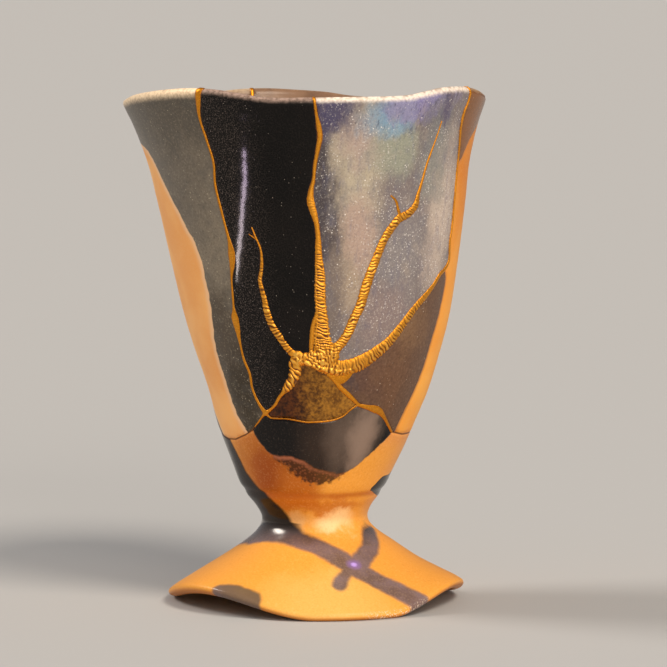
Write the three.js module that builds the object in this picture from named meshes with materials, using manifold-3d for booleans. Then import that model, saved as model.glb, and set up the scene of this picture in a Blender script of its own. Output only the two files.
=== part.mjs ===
// A kintsugi goblet: a thrown stoneware goblet, broken and joined again with gold-covered lacquer.
// Millimetres, +Z up, front towards -Y. It stands on the floor at z = 0, with its rim centred over the origin.
// Places on the bowl are written as [degrees, percent of height, width in mm]: degrees go round the bowl
// from the front (0) towards +X (90), percent is of goblet.height on the straight, undistorted profile.

import * as THREE from 'three';
import { mergeVertices } from 'three/addons/utils/BufferGeometryUtils.js';
import Module from 'manifold-3d';

const wasm = await Module();
wasm.setup();

const goblet = {
  height: 139.7,        // the lip's height before it was pushed into waves
  rimRadius: 49.7,
  waistRadius: 14.5,
  waistHeight: 23.1,
  footRadius: 40.5,
};

const wall = {
  low: 4.3,             // bowl wall where it leaves the stem
  lip: 2.7,             // bowl wall just under the lip
  foot: 3.2,            // the foot's hollow cone
  footEdge: 2.2,        // thickness of the foot's rounded edge
  floor: 12,            // clay from the waist up to the bottom of the bowl
  floorDish: 7,         // height of the rounding between that bottom and the wall
  stem: 7.5,            // clay from the waist down to the hollow of the foot
};

// How the thrown form was pushed out of round by hand.
const sway = {
  lean: 3.2,            // how far the stem stands to +X of the rim
  rimSwing: 1.8,        // measure of the rim's waves
  rimSwingFrom: 0.745,  // share of the height where the wave starts
};

// How the form wanders from stem to rim, as [share of the height, share of sway.lean].
const leanLine = [
  [0, 1], [0.07, 1], [0.115, 1.18], [0.155, 0.93], [0.2, 0.76], [0.24, 0.78], [0.3, 0.91], [0.355, 0.99],
  [0.41, 1.2], [0.5, 1.14], [0.6, 1], [0.7, 0.81], [0.8, 0.56], [0.9, 0.28], [1, 0],
];

// The wavy rim, as [degrees, share of sway.rimSwing]: two ears at the front, a deep dip at the back right.
const rimLine = [
  [-180, -1.06], [-166, -0.73], [-157, -0.84], [-151, -1.09], [-138, -1.28], [-122, -1.11], [-106, -1.28],
  [-93, -1.56], [-81, -1.28], [-69, -0.53], [-57, 0.11], [-48, 0.52], [-36, 0.82], [-28, 0.63], [-20, 0.13],
  [-13, -0.33], [0, -0.37], [14, -0.31], [30, -0.27], [34, -0.21], [43, 0.37], [50, 0.77], [58, 0.83], [66, 0.57],
  [74, 0.08], [88, -0.73], [102, -0.89], [118, -0.84], [132, -1.17], [146, -1.89], [156, -2.06], [165, -1.84],
  [172, -1.36], [180, -1.06],
];

// The foot's edge rises in three arches, and rests on the floor on the stretches between them.
const footArches = [
  { from: 32, to: 120, lift: 5.4, lead: 0.8 },
  { from: 134, to: 241, lift: 5, lead: 1 },
  { from: 360, to: 255, lift: 5.7, lead: 0.9 },
];

const seam = {
  gold: 0.4,            // how far the gold stands out of the glaze
  clearance: 0.3,       // gap left between pieces that touch
  step: 5,              // length of the steps that a seam is built with
  overrun: 2.5,         // how far a strip reaches past both faces of the wall before it is trimmed
};

const turnSegments = 44;
const degree = Math.PI / 180;

// The bowl's outer profile: shares of the height from waist to lip, and of the radius from waist to rim.
const bowlProfile = [
  [0, 0], [0.025, 0.033], [0.06, 0.121], [0.125, 0.222], [0.2, 0.326], [0.318, 0.46], [0.46, 0.603],
  [0.6, 0.697], [0.742, 0.779], [0.841, 0.834], [0.892, 0.878], [0.944, 0.932], [0.972, 0.968],
];

// The foot's upper side: shares of the radius from waist to edge, and of the height from floor to waist.
const footProfile = [[0.015, 0.92], [0.085, 0.82], [0.236, 0.682], [0.477, 0.483], [0.765, 0.268], [0.925, 0.145]];

// Where each join runs. Widths are of the gold; a hairline has none.
const goldRuns = {
  greyToBlack: [
    [-33.2, 104, 1.6], [-35.3, 96, 1.1], [-35.7, 91, 0.8], [-35.3, 84, 0.8], [-33.7, 73, 0.8], [-33.8, 68, 1.2],
    [-35.9, 62, 0.8], [-36.5, 57, 1.4], [-36.4, 50.5, 0.8], [-34.6, 45, 0.8], [-31.9, 40.5, 0.9], [-28.9, 38.9, 1.2],
  ],
  blackToBlue: [
    [2.5, 104, 1.1], [3.6, 97, 1], [4.5, 92.5, 1.4], [1.5, 84, 0.9], [0, 80, 1.9], [1.8, 75, 1.2],
    [1.9, 70.5, 1.5], [1.9, 64, 2.4], [2.2, 58, 2.2], [2.2, 54, 3.8], [3.3, 49.5, 4.6],
  ],
  blueToBrown: [
    [64.6, 104, 1], [64.7, 97, 0.9], [64.6, 93, 0.9], [67.2, 86, 0.8], [67.2, 72, 0.8], [67.4, 66.8, 1],
    [56.2, 63, 1.5], [46.9, 59.6, 2.2], [38.8, 55.5, 2.9], [31.3, 52.2, 3.6], [24.8, 49.9, 4.2],
    [16.7, 48.2, 4.8], [8.5, 47.7, 4.8], [1.2, 48.6, 4.4],
  ],
  blueCrack: [
    [6.4, 50.5, 2.6], [13.8, 55.1, 2.4], [18.3, 59.9, 2.6], [22.2, 65.8, 2.6], [27.8, 72.4, 2.4],
    [34.1, 76.2, 2.2], [40.8, 78.5, 1.9], [43.2, 82, 1], [47.5, 88, 0.8], [50.8, 93.4, 0.8],
  ],
  crackTwig: [[35.1, 75.5, 0.9], [33.6, 78, 0.8], [30.5, 80.7, 0.8]],
  blackCrack: [
    [-4.9, 49.5, 3.4], [-10.3, 50.2, 2.6], [-16.3, 53.8, 1.9], [-20.6, 58.3, 1.6], [-22.2, 64, 1.1],
    [-20.6, 69, 0.8], [-21.3, 72, 0.8], [-23, 74.6, 0.8],
  ],
  hub: [[-9.5, 49, 2.4], [-4.9, 49.3, 3.6], [1.2, 49.5, 5.2], [8.4, 49.2, 4.2]],
  blackToFill: [
    [-9.7, 49.6, 3.2], [-10.5, 47.2, 3.4], [-13.5, 45, 2.6], [-16.4, 43.6, 1.6], [-20.2, 42.2, 0.8],
    [-23.1, 40.5, 0.8], [-28.9, 38.9, 1.2],
  ],
  brownToFill: [
    [2.7, 47.4, 1.6], [10.1, 44.3, 1], [18.5, 41.5, 0.8], [25.3, 40.1, 1.2], [33.4, 39.3, 1.6],
    [39, 38, 1.2], [44.5, 36.2, 0.9], [49.7, 34.6, 0.8],
  ],
};
const backRun = [
  [-162, 104, 1.1], [-160.5, 92, 0.9], [-163, 80, 1.6], [-158.5, 68, 1], [-161, 56, 1.8], [-158, 45, 1.1],
  [-160, 33.1, 0.9],
];
const hairlines = {
  footBreakRound: [
    [-28.9, 38.9, 0], [-33.6, 37.1, 0], [-45, 34.2, 0], [-65.3, 32.8, 0], [-100, 33.6, 0], [-138, 32, 0],
    [-160, 33, 0], [-190, 33.2, 0], [-222, 32.2, 0], [-260, 33.6, 0], [-285, 33.5, 0], [-300, 33.8, 0],
    [-311.2, 34.6, 0],
  ],
  footToFill: [
    [-28.9, 38.9, 0], [-25, 38, 0], [-10.6, 37.7, 0], [4.6, 37.5, 0], [13.1, 38, 0], [17.6, 39.4, 0], [21.6, 40.8, 0],
  ],
};

// A place inside each sherd, by which it is told from the others.
const sherdPlaces = {
  grey_sherd: [-75, 70],
  black_sherd: [-12, 85],
  blue_sherd: [45, 70],
  brown_sherd: [110, 70],
  foot_sherd: [0, 30],
  lacquer_fill: [-3, 43],
};

const materials = {
  grey_sherd: { color: 0x6b6259, roughness: 0.35 },
  black_sherd: { color: 0x1e1a17, roughness: 0.12 },
  blue_sherd: { color: 0x6b7385, roughness: 0.14 },
  brown_sherd: { color: 0xb8743c, roughness: 0.45 },
  foot_sherd: { color: 0xd28a45, roughness: 0.4 },
  lacquer_fill: { color: 0x6e3a14, roughness: 0.15 },
  gold_seams: { color: 0xd9992f, roughness: 0.3, metalness: 1 },
  back_gold_seam: { color: 0xd9992f, roughness: 0.3, metalness: 1 },
};

const clamp01 = t => Math.min(1, Math.max(0, t));

// Straight line through a profile's points, carried on past both ends.
function along(points, x) {
  let i = 1;
  while (i < points.length - 1 && points[i][0] < x) i += 1;
  const [x0, y0] = points[i - 1];
  const [x1, y1] = points[i];
  return y0 + (y1 - y0) * (x - x0) / (x1 - x0);
}

function bowlRadius(height) {
  const share = (height - goblet.waistHeight) / (goblet.height - goblet.waistHeight);
  return goblet.waistRadius + (goblet.rimRadius - goblet.waistRadius) * along(bowlProfile, share);
}

function bowlWall(height) {
  const share = (height - goblet.waistHeight) / (goblet.height - goblet.waistHeight);
  return wall.low + (wall.lip - wall.low) * clamp01(share);
}

// Outward normal of the bowl's profile, as [radius, height].
function bowlSlope(height) {
  const reach = 0.01 * goblet.height;
  const run = (bowlRadius(height + reach) - bowlRadius(height - reach)) / (2 * reach);
  const length = Math.hypot(1, run);
  return [1 / length, -run / length];
}

// The point of the bowl's profile that lies `depth` inside its outer face.
function bowlPoint(height, depth) {
  const [nr, nz] = bowlSlope(height);
  return [bowlRadius(height) - depth * nr, height - depth * nz];
}

// How high the foot's edge is lifted off the floor at a place round it.
function footLift(angle) {
  const turn = ((angle / degree) % 360 + 360) % 360;
  return footArches.reduce((lift, arch) => {
    const share = clamp01((turn - arch.from) / (arch.to - arch.from)) ** arch.lead;
    return lift + arch.lift * (1 - Math.cos(2 * Math.PI * share)) / 2;
  }, 0);
}

// Moves a point of the true round form to where the potter's hand left it.
function distort(point) {
  const radius = Math.hypot(point.x, point.y);
  const angle = Math.atan2(point.x, -point.y);
  const share = point.z / goblet.height;
  const wave = sway.rimSwing * along(rimLine, angle / degree);
  const waveShare = clamp01((share - sway.rimSwingFrom) / (1 - sway.rimSwingFrom)) ** 1.5;
  const footShare = clamp01((radius - goblet.waistRadius) / (goblet.footRadius - goblet.waistRadius)) ** 1.3;
  const lift = point.z < goblet.waistHeight ? footLift(angle) * footShare : 0;
  return new THREE.Vector3(
    point.x + sway.lean * along(leanLine, clamp01(share)),
    point.y,
    point.z + wave * waveShare + lift,
  );
}

function placeOnBowl(angle, height, depth) {
  const [radius, z] = bowlPoint(height, depth);
  return distort(new THREE.Vector3(radius * Math.sin(angle), -radius * Math.cos(angle), z));
}

// One closed profile of the whole vessel, from the hollow of the foot to the bottom of the bowl.
// `grow` moves the bowl's faces outwards, for the solid that the gold is trimmed to.
function vesselProfile(grow) {
  const { height, waistHeight, waistRadius, footRadius } = goblet;
  const footTop = footProfile.map(([out, up]) => [waistRadius + (footRadius - waistRadius) * out, waistHeight * up]);
  const edge = [[0.1, 0.85], [0, 0.5], [0.2, 0.15], [0.6, 0], [1.4, 0]]
    .map(([inward, up]) => [footRadius - inward * wall.footEdge, up * wall.footEdge]);
  const under = footTop.slice(2, 5).map(([r, z]) => [r - 0.55 * wall.foot, z - 0.85 * wall.foot]);
  const domeHeight = waistHeight - wall.stem;
  const points = [[0, domeHeight], [0.3 * footRadius, 0.93 * domeHeight], ...under, ...[...edge].reverse()];
  points.push(...[...footTop].reverse());

  const bowlHeights = bowlProfile.map(([share]) => waistHeight + (height - waistHeight) * share);
  points.push(...bowlHeights.map(z => bowlPoint(z, -grow)));
  const lipHeight = height - 0.55 * wall.lip;
  const lipMiddle = bowlPoint(lipHeight, 0.5 * wall.lip);
  const lipRadius = 0.5 * wall.lip + grow;
  for (const turn of [-10, 30, 70, 110, 150, 190]) {
    const lipTurn = turn * degree;
    points.push([lipMiddle[0] + lipRadius * Math.cos(lipTurn), lipMiddle[1] + lipRadius * Math.sin(lipTurn)]);
  }
  const floorHeight = waistHeight + wall.floor;
  const inner = bowlHeights.map(z => bowlPoint(z, bowlWall(z) + grow)).reverse();
  const innerWall = inner.filter(([, z]) => z > floorHeight + wall.floorDish && z < lipMiddle[1] - 0.7 * wall.lip);
  const [lowRadius] = innerWall.at(-1);
  points.push(...innerWall);
  for (const share of [0.86, 0.62, 0.32]) {
    points.push([lowRadius * share, floorHeight + wall.floorDish * share ** 3]);
  }
  points.push([0, floorHeight]);
  return points.map(([r, z]) => new THREE.Vector2(r, z));
}

function toManifold(geometry) {
  const bare = geometry.clone();
  bare.deleteAttribute('normal');
  bare.deleteAttribute('uv');
  const merged = mergeVertices(bare, 1e-4);
  return new wasm.Manifold(new wasm.Mesh({
    numProp: 3,
    vertProperties: Float32Array.from(merged.attributes.position.array),
    triVerts: Uint32Array.from(merged.index.array),
  }));
}

function vesselSolid(grow) {
  const geometry = new THREE.LatheGeometry(vesselProfile(grow), turnSegments);
  geometry.rotateX(Math.PI / 2);
  const position = geometry.attributes.position;
  const point = new THREE.Vector3();
  for (let i = 0; i < position.count; i += 1) {
    point.fromBufferAttribute(position, i);
    const moved = distort(point);
    position.setXYZ(i, moved.x, moved.y, moved.z);
  }
  return toManifold(geometry);
}

// A closed strip that follows a run through the wall, as wide as the run says plus `extra`.
function stripSolid(run, extra) {
  const arcPerDegree = goblet.rimRadius * degree;
  const curve = new THREE.CatmullRomCurve3(
    run.map(([turn, percent, width]) => (
      new THREE.Vector3(turn * arcPerDegree, percent * goblet.height / 100, width)
    )),
    false,
    'centripetal',
  );
  const steps = Math.max(3, Math.round(curve.getLength() / seam.step));
  const stops = curve.getSpacedPoints(steps).map(p => [p.x / goblet.rimRadius, p.y, p.z + extra]);
  const outside = stops.map(([angle, height]) => placeOnBowl(angle, height, -seam.overrun));
  const inside = stops.map(([angle, height]) => placeOnBowl(angle, height, bowlWall(height) + seam.overrun));
  const positions = [];
  stops.forEach(([, , width], i) => {
    const before = outside[Math.max(0, i - 1)];
    const after = outside[Math.min(steps, i + 1)];
    const forward = after.clone().sub(before).normalize();
    const outward = outside[i].clone().sub(inside[i]).normalize();
    const side = forward.clone().cross(outward).normalize().multiplyScalar(width / 2);
    const end = (i === steps ? 1 : 0) - (i === 0 ? 1 : 0);
    const carry = forward.multiplyScalar(end * Math.max(seam.clearance, width / 3));
    for (const [face, sign] of [[outside, 1], [outside, -1], [inside, -1], [inside, 1]]) {
      const corner = face[i].clone().addScaledVector(side, sign).add(carry);
      positions.push(corner.x, corner.y, corner.z);
    }
  });
  const index = [0, 1, 2, 0, 2, 3];
  for (let i = 0; i < steps; i += 1) {
    for (let k = 0; k < 4; k += 1) {
      const a = 4 * i + k;
      const b = 4 * i + (k + 1) % 4;
      index.push(a, a + 4, b, b, a + 4, b + 4);
    }
  }
  const last = 4 * steps;
  index.push(last, last + 2, last + 1, last, last + 3, last + 2);
  const geometry = new THREE.BufferGeometry();
  geometry.setAttribute('position', new THREE.Float32BufferAttribute(positions, 3));
  geometry.setIndex(index);
  return toManifold(geometry);
}

const joined = (runs, extra) => runs.map(run => stripSolid(run, extra)).reduce((all, one) => all.add(one));

function namedMesh(name, solid) {
  const { vertProperties, triVerts } = solid.getMesh();
  const geometry = new THREE.BufferGeometry();
  geometry.setAttribute('position', new THREE.Float32BufferAttribute(vertProperties, 3));
  geometry.setIndex(new THREE.Uint32BufferAttribute(triVerts, 1));
  geometry.computeVertexNormals();
  const mesh = new THREE.Mesh(geometry, new THREE.MeshStandardMaterial(materials[name]));
  mesh.name = name;
  return mesh;
}

// A small solid ball in the middle of the wall, to ask which sherd holds a place.
function probe([turn, percent]) {
  const height = percent * goblet.height / 100;
  const middle = placeOnBowl(turn * degree, height, bowlWall(height) / 2);
  return toManifold(new THREE.OctahedronGeometry(wall.lip / 5).translate(middle.x, middle.y, middle.z));
}

const frontRuns = Object.values(goldRuns);
const vessel = vesselSolid(0);
const trim = vesselSolid(seam.gold);
const breaks = joined([...frontRuns, backRun], 2 * seam.clearance)
  .add(joined(Object.values(hairlines), seam.clearance));
const sherds = vessel.subtract(breaks).decompose();

const group = new THREE.Group();
for (const [name, place] of Object.entries(sherdPlaces)) {
  const ball = probe(place);
  group.add(namedMesh(name, sherds.find(sherd => sherd.intersect(ball).volume() > 0)));
}
group.add(namedMesh('gold_seams', joined(frontRuns, 0).intersect(trim)));
group.add(namedMesh('back_gold_seam', stripSolid(backRun, 0).intersect(trim)));

export default group;
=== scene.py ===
import math

import bmesh
import bpy
import numpy as np
from mathutils import Matrix, Vector, kdtree


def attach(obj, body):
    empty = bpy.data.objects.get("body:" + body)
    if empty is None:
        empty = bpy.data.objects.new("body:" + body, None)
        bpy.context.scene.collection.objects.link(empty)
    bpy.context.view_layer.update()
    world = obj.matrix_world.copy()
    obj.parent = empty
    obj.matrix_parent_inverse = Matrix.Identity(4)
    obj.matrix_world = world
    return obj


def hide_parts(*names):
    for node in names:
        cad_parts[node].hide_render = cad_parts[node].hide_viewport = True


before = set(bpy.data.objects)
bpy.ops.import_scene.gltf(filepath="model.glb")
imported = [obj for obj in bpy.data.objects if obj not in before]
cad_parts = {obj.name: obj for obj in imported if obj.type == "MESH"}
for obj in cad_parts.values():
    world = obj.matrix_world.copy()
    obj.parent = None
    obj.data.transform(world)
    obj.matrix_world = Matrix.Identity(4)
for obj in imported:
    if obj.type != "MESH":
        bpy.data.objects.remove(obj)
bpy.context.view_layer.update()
print("frame loaded:", ", ".join(sorted(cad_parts)))

mm = 0.001  # the form below is worked out in millimetres, the meshes are in metres
degree = math.pi / 180


# The thrown form. Turn is degrees round the goblet from the front towards +X, rise is percent of its height.

form = {
    "height": 139.7,
    "rimRadius": 49.7,
    "waistRadius": 14.5,
    "waistHeight": 23.1,
    "footRadius": 40.5,
    "wallLow": 4.3,
    "wallLip": 2.7,
    "footWall": 3.2,
    "footEdge": 2.2,
    "floor": 12.0,  # clay between waist and bottom of the bowl
    "stem": 7.5,  # clay between waist and the hollow of the foot
    "slant": 1.05,  # length of the bowl's wall over its height
    "bowl": [
        (-0.025, 0.033), (0, 0), (0.025, 0.033), (0.06, 0.121), (0.125, 0.222), (0.2, 0.326), (0.318, 0.46),
        (0.46, 0.603), (0.6, 0.697), (0.742, 0.779), (0.841, 0.834), (0.892, 0.878), (0.944, 0.932),
        (0.972, 0.968), (1.0, 1.0),
    ],
    "footTop": [
        (1.06, 0.015), (1.0, 0), (0.92, 0.015), (0.82, 0.085), (0.682, 0.236), (0.483, 0.477), (0.268, 0.765),
        (0.145, 0.925), (0.09, 0.985),
    ],
    "lean": 3.2,  # how far the stem stands to +X of the rim
    "leanLine": [  # how the form wanders from stem to rim: share of the height, share of the lean
        (0, 1), (0.07, 1), (0.115, 1.18), (0.155, 0.93), (0.2, 0.76), (0.24, 0.78), (0.3, 0.91), (0.355, 0.99),
        (0.41, 1.2), (0.5, 1.14), (0.6, 1), (0.7, 0.81), (0.8, 0.56), (0.9, 0.28), (1, 0),
    ],
    "rimSwing": 1.8,
    "rimSwingFrom": 0.745,
    "rimLine": [  # the wavy rim: turn, share of the swing
        (-180, -1.06), (-166, -0.73), (-157, -0.84), (-151, -1.09), (-138, -1.28), (-122, -1.11), (-106, -1.28),
        (-93, -1.56), (-81, -1.28), (-69, -0.53), (-57, 0.11), (-48, 0.52), (-36, 0.82), (-28, 0.63), (-20, 0.13),
        (-13, -0.33), (0, -0.37), (14, -0.31), (30, -0.27), (34, -0.21), (43, 0.37), (50, 0.77), (58, 0.83),
        (66, 0.57), (74, 0.08), (88, -0.73), (102, -0.89), (118, -0.84), (132, -1.17), (146, -1.89),
        (156, -2.06), (165, -1.84), (172, -1.36), (180, -1.06),
    ],
    "arches": [(32, 120, 5.4, 0.8), (134, 241, 5.0, 1.0), (360, 255, 5.7, 0.9)],  # from, to, lift, lead
}
lipRise = 100 * (1 - 0.55 * form["wallLip"] / form["height"])  # where the wall starts to round over
topRise = lipRise + 1.5  # the crest of the lip
waistRise = 100 * form["waistHeight"] / form["height"]
flatScale = (0.75, 1.45)  # roughly the mm of one degree and one percent, for curves along the wall


def heightAt(rise):
    return rise * form["height"] / 100


def wrapped(turn):
    return np.mod(turn + 180, 360) - 180


def smoothThrough(points, x):
    px, py = np.array(points, float).T
    order = np.argsort(px)
    px, py = px[order], py[order]
    slope = np.gradient(py, px)
    i = np.clip(np.searchsorted(px, x) - 1, 0, len(px) - 2)
    gap = px[i + 1] - px[i]
    t = np.clip((x - px[i]) / gap, 0, 1)
    ease = t * t * (3 - 2 * t)
    inner = py[i] * (1 - ease) + py[i + 1] * ease
    inner += gap * (slope[i] * t * (1 - t) ** 2 - slope[i + 1] * t * t * (1 - t))
    return inner + slope[0] * np.minimum(0, x - px[0]) + slope[-1] * np.maximum(0, x - px[-1])


def travelled(flat):
    # the length along the points up to each of them
    return np.concatenate([[0], np.cumsum(np.hypot(*np.diff(flat, axis=0).T))])


def smoothColumns(points, along, places):
    return np.stack([smoothThrough(np.stack([along, column], 1), places) for column in points.T], 1)


def bowlShare(height):
    return (height - form["waistHeight"]) / (form["height"] - form["waistHeight"])


def bowlRadius(height):
    widening = form["rimRadius"] - form["waistRadius"]
    return form["waistRadius"] + widening * smoothThrough(form["bowl"], bowlShare(height))


def bowlWall(height):
    return form["wallLow"] + (form["wallLip"] - form["wallLow"]) * np.clip(bowlShare(height), 0, 1)


def bowlPoint(rise, inner, raised):
    # radius and height of the bowl's outer (inner = 0) or inner (inner = 1) face, lifted off it by raised
    height = heightAt(np.minimum(rise, lipRise))
    reach = 0.01 * form["height"]
    run = (bowlRadius(height + reach) - bowlRadius(height - reach)) / (2 * reach)
    size = np.hypot(1, run)
    outR, outZ = 1 / size, -run / size
    depth = np.where(inner > 0.5, bowlWall(height) + raised, -raised)
    radius = bowlRadius(height) - depth * outR
    z = height - depth * outZ
    over = np.clip((rise - lipRise) / (topRise - lipRise), 0, 1) * math.pi / 2  # the rounded lip
    half = form["wallLip"] / 2
    middleR = bowlRadius(height) - half * outR
    middleZ = height - half * outZ
    side = np.where(inner > 0.5, -1.0, 1.0) * np.cos(over) * (half + raised)
    up = np.sin(over) * (half + raised)
    lipR = middleR + side * outR - up * outZ
    lipZ = middleZ + side * outZ + up * outR
    return np.where(rise > lipRise, lipR, radius), np.where(rise > lipRise, lipZ, z)


def footLift(turn):
    around = np.mod(turn, 360)
    lift = 0
    for start, end, high, lead in form["arches"]:
        share = np.clip((around - start) / (end - start), 0, 1) ** lead
        lift = lift + high * (1 - np.cos(2 * math.pi * share)) / 2
    return lift


def distort(turn, radius, height):
    # moves points of the true round form to where the potter's hand left them, and gives metres
    angle = turn * degree
    share = height / form["height"]
    wave = form["rimSwing"] * smoothThrough(form["rimLine"], wrapped(turn))
    waveShare = np.clip((share - form["rimSwingFrom"]) / (1 - form["rimSwingFrom"]), 0, 1) ** 1.5
    lean = form["lean"] * smoothThrough(form["leanLine"], np.clip(share, 0, 1))
    out = (radius - form["waistRadius"]) / (form["footRadius"] - form["waistRadius"])
    lift = np.where(height < form["waistHeight"], footLift(turn) * np.clip(out, 0, 1) ** 1.3, 0)
    x = radius * np.sin(angle) + lean
    y = -radius * np.cos(angle)
    return np.stack([x, y, height + wave * waveShare + lift], 1) * mm


# Where the clay broke. Each point is turn, rise, width of the gold in mm, and how ridged the gold is.
# Where the last is left out, the gold is smooth.

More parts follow.
